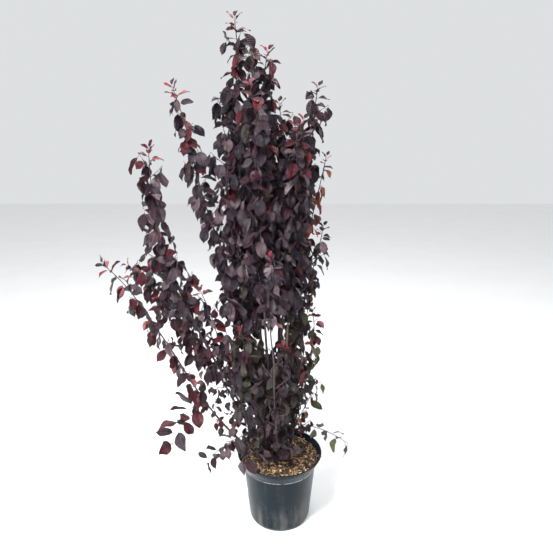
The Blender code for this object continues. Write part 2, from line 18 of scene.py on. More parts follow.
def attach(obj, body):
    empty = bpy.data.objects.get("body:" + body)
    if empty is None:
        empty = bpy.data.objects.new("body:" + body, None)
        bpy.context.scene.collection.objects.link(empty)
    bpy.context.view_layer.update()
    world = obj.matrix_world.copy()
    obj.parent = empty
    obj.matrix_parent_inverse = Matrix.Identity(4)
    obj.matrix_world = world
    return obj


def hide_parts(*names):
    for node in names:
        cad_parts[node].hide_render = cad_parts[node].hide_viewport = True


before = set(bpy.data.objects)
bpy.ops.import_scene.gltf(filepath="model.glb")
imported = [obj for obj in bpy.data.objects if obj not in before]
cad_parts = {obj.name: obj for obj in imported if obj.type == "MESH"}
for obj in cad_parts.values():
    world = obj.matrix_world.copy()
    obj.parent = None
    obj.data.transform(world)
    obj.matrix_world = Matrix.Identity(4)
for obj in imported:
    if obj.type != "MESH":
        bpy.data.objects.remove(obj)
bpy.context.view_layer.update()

# Camera: where it stands, how far it looks down, and its lens
CAMERA_PLACE = (-0.0125, -1.888, 1.570)
CAMERA_DOWN = math.radians(15.99)
SENSOR_WIDTH = 36.0
FOCAL_PIXELS = 532.0
IMAGE_WIDTH = 553.0

# Floor, surround and lights
FLOOR_SIZE = 9.0
FLOOR_CELLS = 40
FLOOR_COLOURS = ((0.86, 0.86, 0.86), (0.88, 0.88, 0.875))
SURROUND_COLOUR = (0.96, 0.98, 1.0, 1.0)
SURROUND_STRENGTH = 0.76
LIGHT_COLOUR = (0.97, 0.98, 1.0)
Light = namedtuple("Light", "name place aim size watts")
LIGHTS = (
    Light("key", (-1.1, -1.7, 3.7), (0.0, 0.0, 1.0), 0.8, 210),
    Light("front", (0.4, -3.0, 2.0), (0.0, 0.0, 0.9), 1.6, 26),
    Light("top", (0.5, 0.8, 3.6), (0.0, 0.0, 1.2), 2.0, 55),
    Light("side", (-2.3, -1.3, 1.0), (0.0, 0.0, 0.6), 0.6, 38),
)

# Pot, as in the model
POT_HEIGHT = 0.293
RIM_RADIUS = 0.170
COLLAR_FOOT = 0.241
COLLAR_FOOT_RADIUS = 0.1475
BODY_TOP_RADIUS = 0.1445
BODY_FOOT_RADIUS = 0.1232
FOOT_CHAMFER = 0.006
FOOT_CHAMFER_HEIGHT = 0.013
POT_WALL = 0.0028
POT_FLOOR = 0.004
DRAIN_HOLES = 6
DRAIN_RADIUS = 0.008
DRAIN_CIRCLE = 0.088

# The pot's roundings: steps out and up from the foot, the body's top, the collar's foot and the rim
FOOT_ROUND = ((-0.0062, 0.0), (-0.0056, 0.0006), (-0.0008, 0.0105), (0.0, 0.0130), (0.0003, 0.0150))
SHOULDER_ROUND = ((-0.0002, -0.0065), (0.0001, -0.0040))
COLLAR_ROUND = ((-0.0010, -0.0014), (-0.0002, 0.0004), (0.0003, 0.0022))
LIP_ROUND = (
    (-0.0032, -0.0078), (-0.0015, -0.0066), (-0.0003, -0.0050), (0.0, -0.0030),
    (-0.0006, -0.0009), (-0.0020, 0.0), (-0.0034, -0.0004), (-0.0045, -0.0018),
)
POT_SEGMENTS = 144
DRAIN_SEGMENTS = 24
CUTTER_DEPTH = 0.02
SHARP_FROM = math.radians(50)

# Compost: its top, its sides as (radius, height), and how its surface falls and crumbles
SOIL_TOP = 0.276
SOIL_RADIUS = 0.156
SOIL_SIDES = ((0.1430, 0.2450), (0.1405, 0.2400), (0.1185, 0.0175), (0.1120, 0.0045))
SOIL_RINGS = 34
SOIL_SEGMENTS = 96
SOIL_FALL = 0.0055
CLOD_SCALE = 38
CLOD_HEIGHT = 0.0022
CRUMB_SCALE = 120
CRUMB_HEIGHT = 0.0012

# Bark chips and fallen leaves; widths and thicknesses are shares of a chip's length
CHIPS = 2600
CHIP_LENGTH = (0.005, 0.017)
CHIP_VARIES = (0.5, 1.0)
CHIP_WIDTH = (0.16, 0.34)
CHIP_THICKNESS = (0.06, 0.16)
CHIP_JITTER = (0.55, 1.1)
CHIP_PITCH = 0.35
CHIP_ROLL = 0.4
CHIP_FROM_WALL = 0.004
CHIP_LIFT = 0.6
CHIP_TONES = (22, 20, 22, 36)
BOX_FACES = ((0, 1, 3, 2), (4, 6, 7, 5), (0, 4, 5, 1), (2, 3, 7, 6), (0, 2, 6, 4), (1, 5, 7, 3))
FALLEN_LEAVES = 13
FALLEN_CENTRE = 0.02
FALLEN_REACH = 0.12
FALLEN_TURN = (-1.2, 1.0)
FALLEN_LENGTH = (0.022, 0.040)
FALLEN_LIFT = 0.007
FALLEN_TILT = 0.08
FALLEN_FACING = Vector((0.1, 0.1, 1))
# The mauve fallen leaves carry painted sheen
FALLEN_COLOURS = ("plum", "crimson", "mauve", "plum", "salmon")

# Stems
STEM_SUNK = 0.004
SWAY_TURNS = 5.5 * math.pi
STEM_TAPER = 0.9
STEM_TIP_RADIUS = 0.0013
ROOT_FLARE = 0.35
ROOT_FLARE_HEIGHT = 0.035
BARK_SIDES = 10
BARK_STEP = 0.008
BARK_RELIEF = 0.09
BARK_GRAIN = 160.0
NODE_SWELL = 0.16
NODE_EVERY = 0.028
TANGENT_STEP = 0.004
STEM_PIECES = 20
MASS_PIECES = 40
HALVINGS = 30
TAN_STEMS = ("crown_front_right", "crown_back_right")

# Twigs; angles in degrees
TWIG_STEP = 0.034
TWIGS_REACH = 0.97
TWIG_RADIUS = 0.0019
TWIG_TIP_RADIUS = 0.0009
TWIG_LENGTH_SHARE = 1.55
TWIG_LONGER_BELOW = 1.20
TWIG_SHORTER_ABOVE = 0.65
TWIG_VARIES = (0.55, 1.20)
TWIG_SPREAD = (38, 62)
TWIG_BEND = 0.18
TWIG_AGE = 0.9
TWIG_SIDES = 5
TWIG_POINTS = 5
FINE_TWIG_CHANCE = 0.45
FINE_TWIG_FROM = 0.05
FINE_TWIG_LENGTH = 0.55
THINNER = 0.7
GOLDEN_ANGLE = math.radians(137.5)

# A leaf's shape: shares of its length, then its fold and lean
LEAF_ROWS = 12
LEAF_COLUMNS = 3
LEAF_ROW_SPREAD = 0.92
LEAF_WIDTH_SHARE = (0.54, 0.66)
LEAF_BROADEST = 0.86
LEAF_FULLNESS = 0.80
LEAF_POINT_FROM = 0.74
LEAF_POINT_CUT = 0.42
LEAF_POINT_CURVE = 1.5
LEAF_FOLD = (0.06, 0.52)
LEAF_CURL = (-0.04, 0.40)
CURL_SHORTENS = 0.35
LEAF_LEAN = 0.10
LEAF_WAVE = 0.055
LEAF_WAVE_TURNS = 9
LEAF_WAVE_AT_BASE = 0.3
LEAF_TEETH = 0.022
PETIOLE_SHARE = 0.15
PETIOLE_RADIUS = 0.0006
PETIOLE_TAPER = 0.8
PETIOLE_OVERLAP = 1.15
PETIOLE_TURNS = (0.5, 2.6, 4.7)

# How leaves are spaced and carried; angles in degrees
LEAF_LENGTH_SHARE = 0.735
LEAF_VARIES = (0.72, 1.10)
STEM_LEAF_STEP = 0.0120
TWIG_LEAF_STEP = 0.0135
TWIG_LEAF_FROM = 0.15
LEAF_HANG = 50
LEAF_HANG_SPREAD = 36
LEAF_TIP_RISE = 85
LEAF_TWIST = 62
TIP_LEAF_LOSS = 0.45
TIP_FROM = 0.88

# The shoot beyond a stem's tip; each pair runs from its top leaf to its lowest
TIP_LEAVES = 6
TIP_SHOOT = 0.026
TIP_LEAF_SPACING = 1.7
TIP_LEAF_RISE = (0.95, -0.05)
TIP_LEAF_SPREAD = (0.55, 0.95)
TIP_LEAF_SHARE = (0.46, 0.78)
TIP_LEAF_FACING = Vector((0, -0.5, 0))
TIP_LEAF_CUP = 0.3

# Sprigs carry larger leaves, flatter, from a share of their length on
SPRIG_LIFT = 22
SPRIG_LEAF_SHARE = 1.28
SPRIG_LEAF_FROM = 0.30
SPRIG_AGE = 0.8
SPRIG_POINTS = 12
SPRIG_SIDES = 6

# Low shoots on the bare stretch of the stems, which start higher on the right
LOW_SHOOT_FROM = 0.035
LOW_SHOOT_RIGHT = 0.055
LOW_SHOOT_TO = 0.74
LOW_SHOOT_STEP = 0.042
LOW_SHOOT_STEP_VARIES = (0.7, 1.4)
LOW_SHOOT_CROWDING = 0.55
LOW_SHOOT_RISE = 0.55
LOW_SHOOT_SPREAD = 0.85
LOW_SHOOT_LENGTH = (0.030, 0.085)
LOW_SHOOT_RADIUS = TWIG_RADIUS * 0.8
LOW_SHOOT_AGE = 0.5
LOW_SHOOT_OLIVE = 0.6
LOW_LEAF_LENGTH = (0.038, 0.056)

# How near foliage comes to the floor, the soil and the rim
FLOOR_CLEARANCE = 0.004
SOIL_CLEARANCE = 0.003
RIM_CLEARANCE = 0.006

# A stem as in the model, with its leaves' tone and density added
Stem = namedtuple("Stem", "name foot tip lean_foot lean_tip sway radius bare twig leaf tone density")

# The second line of each is for its foliage
STEMS = (
    Stem("leader_left", (-0.02, -0.006), (-0.146, -0.01, 1.875), 13, -7, 0.022, 0.007,
         0.84, 0.058, 0.1, "dark", 1.15),
    Stem("leader_centre", (-0.014, 0.016), (-0.046, 0.03, 1.78), 14, -2, -0.012, 0.0068,
         0.96, 0.055, 0.098, "dark", 1.5),
    Stem("leader_right", (0.008, 0.004), (0.124, 0.01, 1.665), -2, 14, 0.008, 0.0066,
         0.97, 0.05, 0.094, "dark", 1.2),
    Stem("crown_front", (-0.006, -0.026), (-0.09, -0.11, 1.665), 9, 4, 0.01, 0.0062,
         0.96, 0.055, 0.098, "dark", 1.7),
    Stem("crown_front_right", (0.018, -0.016), (0.052, -0.095, 1.54), 2, 6, 0.008, 0.006,
         0.92, 0.05, 0.098, "dark", 1.7),
    Stem("crown_back", (0.002, 0.04), (0.0, 0.15, 1.62), 5, 6, 0.01, 0.0062,
         0.94, 0.055, 0.1, "dark", 1.4),
    Stem("crown_back_left", (-0.022, 0.038), (-0.15, 0.11, 1.56), 6, 5, 0.01, 0.006,
         0.84, 0.055, 0.1, "dark", 1.3),
    Stem("crown_back_right", (0.024, 0.026), (0.082, 0.11, 1.56), 4, 4, -0.01, 0.006,
         0.92, 0.05, 0.098, "dark", 1.4),
    Stem("arch_inner", (-0.044, 0.014), (-0.36, 0.03, 1.67), 3, 12, 0.01, 0.006,
         0.84, 0.045, 0.098, "mauve", 0.85),
    Stem("arch_outer", (-0.042, -0.008), (-0.448, -0.03, 1.465), 23, -5, 0.006, 0.0058,
         0.84, 0.052, 0.1, "mauve", 0.95),
    Stem("spread_left", (-0.06, 0.01), (-0.556, 0.06, 1.04), 29, 50, 0.006, 0.005,
         0.62, 0.055, 0.094, "wine", 1.1),
    Stem("reach_left", (-0.064, -0.014), (-0.612, -0.055, 1.072), 55, 42, 0.004, 0.0048,
         0.53, 0.024, 0.1, "red", 0.62),
    Stem("slim_left", (-0.046, -0.032), (-0.284, -0.06, 0.985), 26, 20, 0.004, 0.0038,
         0.6, 0.045, 0.084, "wine", 0.8),
    Stem("arch_back", (0.006, 0.062), (-0.01, 0.29, 1.27), 22, 2, 0.01, 0.0056,
         0.76, 0.05, 0.096, "mauve", 0.9),
    Stem("arch_front", (-0.006, -0.05), (-0.03, -0.23, 1.13), 20, 2, 0.01, 0.0054,
         0.93, 0.035, 0.082, "mauve", 0.9),
    Stem("slim_right", (0.034, -0.002), (0.15, -0.02, 1.195), -4, 14, 0.004, 0.0036,
         0.74, 0.035, 0.08, "olive", 1),
    Stem("orange_right", (0.042, 0.016), (0.16, 0.05, 1.435), 3, 16, 0.004, 0.004,
         1.0, 0.03, 0.07, "orange", 0.6),
    Stem("green_right", (0.04, -0.022), (0.121, -0.04, 0.895), 2, -6, 0.004, 0.0036,
         0.5, 0.04, 0.066, "green", 0.9),
    Stem("low_front", (0.014, -0.042), (0.016, -0.13, 0.78), 8, 14, 0.006, 0.004,
         0.46, 0.06, 0.09, "olive", 0.8),
    Stem("low_front_left", (-0.026, -0.036), (-0.14, -0.12, 0.85), 12, 12, 0.006, 0.0042,
         0.43, 0.06, 0.092, "olive", 1.4),
    Stem("low_back", (0.03, 0.05), (0.06, 0.17, 0.84), 10, 12, 0.006, 0.0042,
         0.46, 0.06, 0.09, "olive", 1.2),
    Stem("low_back_left", (-0.024, 0.062), (-0.16, 0.15, 0.85), 12, 12, 0.006, 0.0042,
         0.43, 0.06, 0.092, "wine", 1.3),
)

# A sprig, which leaves a stem's side low down
Sprig = namedtuple("Sprig", "name stem height tip rise radius leaf leaves tone")

SPRIGS = (
    Sprig("sprig_right", "green_right", 0.43, (0.272, -0.03, 0.345), 0.02, 0.0018, 0.05, 9, "green"),
    Sprig("sprig_green", "green_right", 0.395, (0.138, 0.05, 0.53), 0.01, 0.0018, 0.048, 8, "green"),
    Sprig("sprig_left", "slim_left", 0.4, (-0.285, -0.11, 0.318), 0.02, 0.0018, 0.054, 11, "mauve"),
    Sprig("sprig_hanging", "reach_left", 0.5, (-0.436, -0.03, 0.33), 0.08, 0.0018, 0.08, 15, "wine"),
    Sprig("sprig_rim", "low_front_left", 0.335, (-0.14, -0.14, 0.35), 0.01, 0.0018, 0.072, 11, "mauve"),
    Sprig("sprig_foot", "low_front", 0.345, (0.045, -0.12, 0.372), 0.006, 0.0016, 0.05, 8, "mauve"),
)

# Which masses are joined to one piece of leaves and one of twigs
GROUPS = {
    "leaders": ("leader_left", "leader_centre", "leader_right"),
    "crown_front": ("crown_front", "crown_front_right"),
    "crown_back": ("crown_back", "crown_back_left", "crown_back_right"),
    "arches": ("arch_inner", "arch_outer", "arch_back", "arch_front"),
    "left_side": ("spread_left", "reach_left", "slim_left", "sprig_left", "sprig_hanging"),
    "right_side": ("slim_right", "orange_right"),
    "green_side": ("green_right", "sprig_right", "sprig_green"),
    "skirt": ("low_front", "low_front_left", "low_back", "low_back_left", "sprig_rim", "sprig_foot"),
}

# Leaf colours: the blade, the tint that mottles it, and the veins. Ink, mauve and lilac are darker and paler
# copies of the purple blade: ink is painted shade, mauve is painted sheen and lilac is a painted highlight.
LEAF_COLOURS = {
    # Painted shade: a near-black copy of the purple blade, standing for leaves in shade
    "ink": ((0.01, 0.007, 0.013), (0.02, 0.01, 0.016), (0.06, 0.038, 0.048)),
    "plum": ((0.038, 0.011, 0.018), (0.017, 0.008, 0.014), (0.12, 0.05, 0.062)),
    "slate": ((0.058, 0.04, 0.048), (0.025, 0.016, 0.023), (0.165, 0.118, 0.128)),
    # Painted sheen: greyish copies of the purple blade, standing for the sky's sheen on lit leaves; lilac,
    # the palest, is a painted highlight
    "mauve": ((0.145, 0.094, 0.106), (0.066, 0.036, 0.046), (0.31, 0.21, 0.22)),
    "lilac": ((0.24, 0.18, 0.192), (0.125, 0.084, 0.098), (0.41, 0.315, 0.33)),
    "crimson": ((0.096, 0.006, 0.012), (0.04, 0.006, 0.011), (0.22, 0.036, 0.046)),
    "scarlet": ((0.36, 0.024, 0.038), (0.21, 0.018, 0.03), (0.46, 0.08, 0.09)),
    "salmon": ((0.42, 0.15, 0.15), (0.28, 0.085, 0.095), (0.5, 0.21, 0.2)),
    "orange": ((0.48, 0.14, 0.05), (0.33, 0.07, 0.04), (0.55, 0.22, 0.1)),
    "olive": ((0.052, 0.046, 0.034), (0.04, 0.026, 0.026), (0.13, 0.112, 0.082)),
    "green": ((0.095, 0.125, 0.055), (0.075, 0.07, 0.042), (0.16, 0.18, 0.09)),
}
LEAF_NAMES = tuple(LEAF_COLOURS)

# How often each tone of mass deals out each leaf colour, and so how many of its leaves carry painted shade
# (ink) and painted sheen (mauve, lilac)
TONES = {
    "dark": {"ink": 36, "plum": 25, "slate": 18, "mauve": 10, "crimson": 5, "lilac": 2, "olive": 4},
    "mauve": {"ink": 16, "plum": 24, "slate": 26, "mauve": 19, "lilac": 5, "crimson": 7, "salmon": 3},
    "wine": {"ink": 12, "plum": 30, "slate": 18, "mauve": 15, "crimson": 19, "salmon": 4, "lilac": 2},
    "red": {"plum": 32, "crimson": 34, "slate": 12, "scarlet": 2, "salmon": 10, "mauve": 10},
    "olive": {"ink": 14, "plum": 18, "slate": 20, "olive": 38, "green": 3, "mauve": 7},
    "orange": {"orange": 30, "salmon": 20, "mauve": 25, "scarlet": 10, "plum": 15},
    "green": {"green": 36, "olive": 34, "slate": 10, "salmon": 8, "orange": 4, "mauve": 8},
}

# Young leaves and crimson ones: from where on a shoot and how often they come; the mauve young leaves carry
# painted sheen
YOUNG = ("scarlet", "crimson", "crimson", "plum", "mauve", "salmon")
YOUNG_FROM = 0.955
YOUNG_CHANCE = 0.60
REDDER_FROM = 0.76
REDDER_CHANCE = 0.14

# Bark: its colour, its blotches and its pores
DARK_BARK = ((0.022, 0.014, 0.018), (0.05, 0.034, 0.04), (0.12, 0.09, 0.085))
TAN_BARK = ((0.12, 0.072, 0.044), (0.075, 0.045, 0.032), (0.2, 0.15, 0.11))
TWIG_BARK = ((0.06, 0.026, 0.032), (0.11, 0.07, 0.07), (0.16, 0.11, 0.1))

# Compost and chips: two tones and how finely they are broken up
CRUMBS = {
    "compost": ((0.016, 0.009, 0.006), (0.045, 0.026, 0.014), 90.0),
    "golden chip": ((0.64, 0.44, 0.22), (0.42, 0.25, 0.11), 160.0),
    "tan chip": ((0.36, 0.23, 0.12), (0.2, 0.115, 0.058), 160.0),
    "brown chip": ((0.13, 0.066, 0.03), (0.075, 0.04, 0.02), 160.0),
    "dark chip": ((0.022, 0.013, 0.009), (0.055, 0.03, 0.018), 160.0),
}


# Materials

class Surface:
    """A node material with its Principled shader, and short ways to add nodes to it."""

    def __init__(self, name, colour, roughness=0.5):
        self.material = bpy.data.materials.new(name)
        self.material.use_nodes = True
        self.nodes = self.material.node_tree.nodes
        self.link = self.material.node_tree.links.new
        self.inputs = self.nodes["Principled BSDF"].inputs
        self.set(self.inputs, "Base Color", (*colour, 1.0))
        self.set(self.inputs, "Roughness", roughness)

    def set(self, inputs, name, value):
        """Gives an input a number or a colour, or links it to a socket."""
        if isinstance(value, bpy.types.NodeSocket):
            self.link(value, inputs[name])
        else:
            inputs[name].default_value = value

    def place(self, kind="Object"):
        """The piece's own coordinates or its UVs."""
        return self.nodes.new("ShaderNodeTexCoord").outputs[kind]

    def split(self, place):
        """A place's three numbers."""
        made = self.nodes.new("ShaderNodeSeparateXYZ")
        self.link(place, made.inputs[0])
        return made.outputs

    def math(self, operation, *values):
        """A Math node's output. Each value is a socket or a number."""
        made = self.nodes.new("ShaderNodeMath")
        made.operation = operation
        for index, value in enumerate(values):
            self.set(made.inputs, index, value)
        return made.outputs[0]

    def times(self, first, second):
        """The product of two values."""
        return self.math("MULTIPLY", first, second)

    def noise(self, scale, detail, roughness=0.55):
        """Noise over the piece's own coordinates, at one scale or at one for each axis."""
        place = self.place()
        made = self.nodes.new("ShaderNodeTexNoise")
        if isinstance(scale, tuple):
            stretch = self.nodes.new("ShaderNodeMapping")
            stretch.inputs["Scale"].default_value = scale
            self.link(place, stretch.inputs["Vector"])
            place = stretch.outputs["Vector"]
            scale = 1.0
        self.link(place, made.inputs["Vector"])
        for name, value in (("Scale", scale), ("Detail", detail), ("Roughness", roughness)):
            self.set(made.inputs, name, value)
        return made.outputs["Fac"]

    def span(self, value, low_high, to=(0.0, 1.0)):
        """A value mapped smoothly from one span to another."""
        made = self.nodes.new("ShaderNodeMapRange")
        made.interpolation_type = "SMOOTHSTEP"
        names = ("Value", "From Min", "From Max", "To Min", "To Max")
        for name, number in zip(names, (value, *low_high, *to)):
            self.set(made.inputs, name, number)
        return made.outputs["Result"]

    def mix(self, share, first, second):
        """A mix of two colours, each a socket or a triple."""
        made = self.nodes.new("ShaderNodeMix")
        made.data_type = "RGBA"
        self.link(share, made.inputs["Factor"])
        sockets = [s for s in made.inputs if s.type == "RGBA"]
        for index, colour in enumerate((first, second)):
            self.set(sockets, index, (*colour, 1.0) if isinstance(colour, tuple) else colour)
        return [s for s in made.outputs if s.type == "RGBA"][0]

    def bump(self, height, strength, distance):
        """Bump from a height."""
        made = self.nodes.new("ShaderNodeBump")
        for name, value in (("Height", height), ("Strength", strength), ("Distance", distance)):
            self.set(made.inputs, name, value)
        self.link(made.outputs["Normal"], self.inputs["Normal"])

    def finish(self, **values):
        """Sets or links the shader's inputs, named with _ for a space, and gives the material."""
        for name, value in values.items():
            self.set(self.inputs, name.replace("_", " "), value)
        return self.material


def vein_nodes(on):
    """How near a point is to a side vein, and how much it is on the midrib and on any vein."""
    pairs, slant = 8.5, -2.1
    side_vein_span, midrib_span = (0.72, 1.0), (0.10, 0.0)
    side_vein_share = 0.6
    uv = on.split(on.place("UV"))
    across = on.math("ABSOLUTE", on.math("MULTIPLY_ADD", uv["Y"], 2.0, -1.0))
    along = on.math("MULTIPLY_ADD", uv["X"], pairs, on.times(across, slant))
    phase = on.math("FRACT", along)
    near_vein = on.math("ABSOLUTE", on.math("MULTIPLY_ADD", phase, 2.0, -1.0))
    midrib = on.span(across, midrib_span)
    side_vein = on.times(on.span(near_vein, side_vein_span), side_vein_share)
    return near_vein, midrib, on.math("MAXIMUM", side_vein, midrib)


def leaf_material(name, blade, tint, veins):
    """A leaf: veins slant off the midrib, the blade is puffed up between them, mottled and faintly waxy."""
    mottle_scale, mottle_span = 38.0, (0.40, 0.62)
    wax_scale, wax_span, roughness = 60.0, (0.3, 0.7), (0.27, 0.48)
    vein_share = 0.85
    midrib_depth = 1.2
    puff_height = 0.0045
    on = Surface(f"leaf {name}", blade)
    near_vein, midrib, vein = vein_nodes(on)
    mottle = on.span(on.noise(mottle_scale, 3.0), mottle_span)
    puff = on.math("SUBTRACT", 1.0, on.math("POWER", near_vein, 2.0))
    on.bump(on.math("SUBTRACT", puff, on.times(midrib, midrib_depth)), 1.0, puff_height)
    return on.finish(
        Base_Color=on.mix(on.times(vein, vein_share), on.mix(mottle, blade, tint), veins),
        Roughness=on.span(on.noise(wax_scale, 2.0), wax_span, roughness),
        Specular_IOR_Level=0.38,
        Sheen_Weight=0.02,
        Sheen_Roughness=0.45,
        Sheen_Tint=(0.86, 0.78, 0.92, 1.0),
    )


def bark_material(name, colour, blotches, pores):
    """Smooth young bark with short pale pores across the stem and fine grain on it."""
    blotch_scale, blotch_span = 24.0, (0.42, 0.66)
    pore_scale, pore_span = (90.0, 90.0, 330.0), (0.60, 0.70)
    roughness = (0.46, 0.72)
    grain_scale, grain_height = 300.0, 0.0006
    on = Surface(name, colour)
    blotch = on.span(on.noise(blotch_scale, 4.0), blotch_span)
    pore = on.span(on.noise(pore_scale, 1.0, 0.5), pore_span)
    on.bump(on.math("ADD", pore, on.noise(grain_scale, 3.0)), 0.5, grain_height)
    return on.finish(
        Base_Color=on.mix(pore, on.mix(blotch, colour, blotches), pores),
        Roughness=on.span(blotch, (0.0, 1.0), roughness),
    )


def dust_film(on, height, cloud, fine):
    """How low a place is, and how dusty: in clouds and drawn-out runs, and hardly on the collar."""
    run_scale = (34.0, 34.0, 5.0)
    collar_share = 0.22
    lower = on.span(height, (0.160, 0.0), (0.06, 1.0))
    runs = on.noise(run_scale, 4.0, 0.5)
    film = on.times(lower, on.span(cloud, (0.38, 0.62), (0.10, 1.0)))
    film = on.times(film, on.span(runs, (0.42, 0.60), (0.15, 1.0)))
    film = on.times(film, on.span(fine, (0.25, 0.75), (0.45, 1.0)))
    below_collar = on.span(height, (COLLAR_FOOT - 0.0005, COLLAR_FOOT - 0.0025))
    return lower, on.times(film, on.math("MULTIPLY_ADD", below_collar, 1 - collar_share, collar_share))


def speck_nodes(on, lower, cloud):
    """Splashed specks, in the cloudy places towards the foot."""
    specks = on.nodes.new("ShaderNodeTexVoronoi")
    specks.inputs["Scale"].default_value = 85.0
    on.link(on.place(), specks.inputs["Vector"])
    speck = on.times(on.span(specks.outputs["Distance"], (0.20, 0.08)), lower)
    return on.times(speck, on.span(cloud, (0.48, 0.60)))


def pot_material():
    """Blue-black moulded plastic, scuffed pale at the collar's foot, dusty and splashed lower down."""
    plastic = (0.003, 0.009, 0.014)
    dust = (0.150, 0.152, 0.142)
    scuffed = (0.36, 0.37, 0.37)
    splash = (0.150, 0.105, 0.065)
    scuff_height, scuff_span = COLLAR_FOOT + 0.0015, (0.0030, 0.0008)
    on = Surface("nursery pot plastic", plastic)
    height = on.split(on.place())["Z"]
    cloud = on.noise(9.0, 6.0, 0.62)
    fine = on.noise(42.0, 5.0, 0.7)
    lower, film = dust_film(on, height, cloud, fine)
    edge = on.math("ABSOLUTE", on.math("SUBTRACT", height, scuff_height))
    scuff = on.times(on.span(edge, scuff_span), on.span(fine, (0.40, 0.56)))
    speck = speck_nodes(on, lower, cloud)
    colour = on.mix(film, plastic, dust)
    colour = on.mix(on.times(scuff, 0.8), colour, scuffed)
    colour = on.mix(on.times(speck, 0.75), colour, splash)
    on.bump(on.noise(420.0, 2.0), 0.12, 0.0008)
    roughness = on.span(film, (0.0, 0.6), (0.27, 0.62))
    return on.finish(Base_Color=colour, Roughness=roughness, Specular_IOR_Level=0.16)


def crumb_material(name, colour, second, scale):
    """Compost or bark chip: two tones broken up at a given scale, rough."""
    finer = 2.5
    on = Surface(name, colour, 0.9)
    share = on.span(on.noise(scale, 5.0, 0.65), (0.40, 0.62))
    on.bump(on.noise(scale * finer, 4.0, 0.7), 0.8, 0.002)
    return on.finish(Base_Color=on.mix(share, colour, second))


# Meshes

def on_circle(radius, turn, height):
    """A point at a radius, an angle and a height."""
    return (radius * math.cos(turn), radius * math.sin(turn), height)


def link_object(name, data):
    """A new object in the scene."""
    made = bpy.data.objects.new(name, data)
    bpy.context.scene.collection.objects.link(made)
    return made


def link_mesh(name, bm):
    """A new object with a bmesh's mesh."""
    mesh = bpy.data.meshes.new(name)
    bm.to_mesh(mesh)
    bm.free()
    return link_object(name, mesh)


class Build:
    """Collects vertices, faces, their material numbers and the leaves' UVs for one mesh."""

    def __init__(self):
        self.points = []
        self.faces = []
        self.slots = []
        self.uvs = []
        self.count = 0

    def add(self, points, faces, slot, uvs=None):
        """Adds a shape: an array of points, a list of faces over them and one material number."""
        self.points.append(np.asarray(points, dtype=float))
        self.faces += [[self.count + i for i in face] for face in faces]
        self.slots += [slot] * len(faces)
        self.uvs.append(np.zeros((len(points), 2)) if uvs is None else uvs)
        self.count += len(points)

    def finish(self, name, materials, smooth=True):
        """The finished object, riding on the part's one body."""
        mesh = bpy.data.meshes.new(name)
        mesh.from_pydata(np.concatenate(self.points).tolist(), [], self.faces)
        mesh.polygons.foreach_set("material_index", self.slots)
        if smooth:
            mesh.shade_smooth()
        layer = mesh.uv_layers.new(name="UVMap")
        corners = np.empty(len(mesh.loops), dtype=np.int32)
        mesh.loops.foreach_get("vertex_index", corners)
        layer.data.foreach_set("uv", np.concatenate(self.uvs)[corners].astype(np.float32).ravel())
        for material in materials:
            mesh.materials.append(material)
        made = link_object(name, mesh)
        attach(made, "root")
        return made


def ring_axes(points):
    """At each point of a line, two directions across it, turned as little as can be."""
    across = None
    pairs = []
    last = len(points) - 1
    for i in range(len(points)):
        ahead = (points[min(i + 1, last)] - points[max(i - 1, 0)]).normalized()
        across = across or ahead.orthogonal()
        across = (across - ahead * across.dot(ahead)).normalized()
        pairs.append((across.copy(), ahead.cross(across)))
    return pairs


def tube_faces(rings, sides):
    """The faces of a tube of rings, closed at its start and by a fan round its last point."""
    faces = []
    for r in range(rings - 1):
        for k in range(sides):
            j = (k + 1) % sides
            faces.append((r * sides + k, r * sides + j, (r + 1) * sides + j, (r + 1) * sides + k))
    tip = rings * sides
    faces += [((rings - 1) * sides + k, (rings - 1) * sides + (k + 1) % sides, tip) for k in range(sides)]
    faces.append(tuple(reversed(range(sides))))
    return faces


def add_tube(build, points, radii, sides, slot=0, relief=0.0):
    """A tapering tube, raised and sunk by grain where relief is given."""
    turns = [2 * math.pi * k / sides for k in range(sides)]
    corners = []
    for centre, radius, (across, other) in zip(points, radii, ring_axes(points)):
        for turn in turns:
            out = across * math.cos(turn) + other * math.sin(turn)
            size = radius
            if relief:
                probe = Vector((out.x * 2, out.y * 2, 0)) + centre * BARK_GRAIN
                size *= 1 + relief * noise.noise(probe)
            corners.append(centre + out * size)
    end = (points[-1] - points[-2]).normalized() * radii[-1]
    corners.append(points[-1] + end)
    build.add([tuple(c) for c in corners], tube_faces(len(points), sides), slot)


def leaf_grid():
    """A blade's grid: shares along and across, its faces and its UVs."""
    along = np.linspace(0, 1, LEAF_ROWS + 1) ** LEAF_ROW_SPREAD
    across = np.linspace(-1, 1, 2 * LEAF_COLUMNS + 1)
    u, v = np.meshgrid(along, across, indexing="ij")
    columns = len(across)
    faces = []
    for i in range(LEAF_ROWS):
        for j in range(columns - 1):
            a = i * columns + j
            faces.append((a, a + columns, a + columns + 1, a + 1))
    u, v = u.ravel(), v.ravel()
    return u, v, faces, np.stack([u, (v + 1) / 2], axis=1)


GRID_U, GRID_V, GRID_FACES, GRID_UV = leaf_grid()
GRID_ROW = np.repeat(np.arange(LEAF_ROWS + 1), 2 * LEAF_COLUMNS + 1)
ON_EDGE = np.abs(GRID_V) > 0.99
TOOTHED = 1 + LEAF_TEETH * np.where(GRID_ROW % 2 == 0, 1, -1) * ON_EDGE


def half_width(u):
    """An oval blade's half width at a share of its length, drawn out to a short point at the tip."""
    oval = np.sin(np.pi * u**LEAF_BROADEST) ** LEAF_FULLNESS
    to_tip = np.clip((u - LEAF_POINT_FROM) / (1 - LEAF_POINT_FROM), 0, 1)
    return np.clip(oval, 0, None) * (1 - LEAF_POINT_CUT * to_tip**LEAF_POINT_CURVE)


def frame_of(direction, facing):
    """Rows X, Y and Z of a frame whose X runs along a direction and whose Z leans towards facing."""
    x = direction.normalized()
    z = (facing - x * facing.dot(x)).normalized()
    return np.array([x, z.cross(x), z])


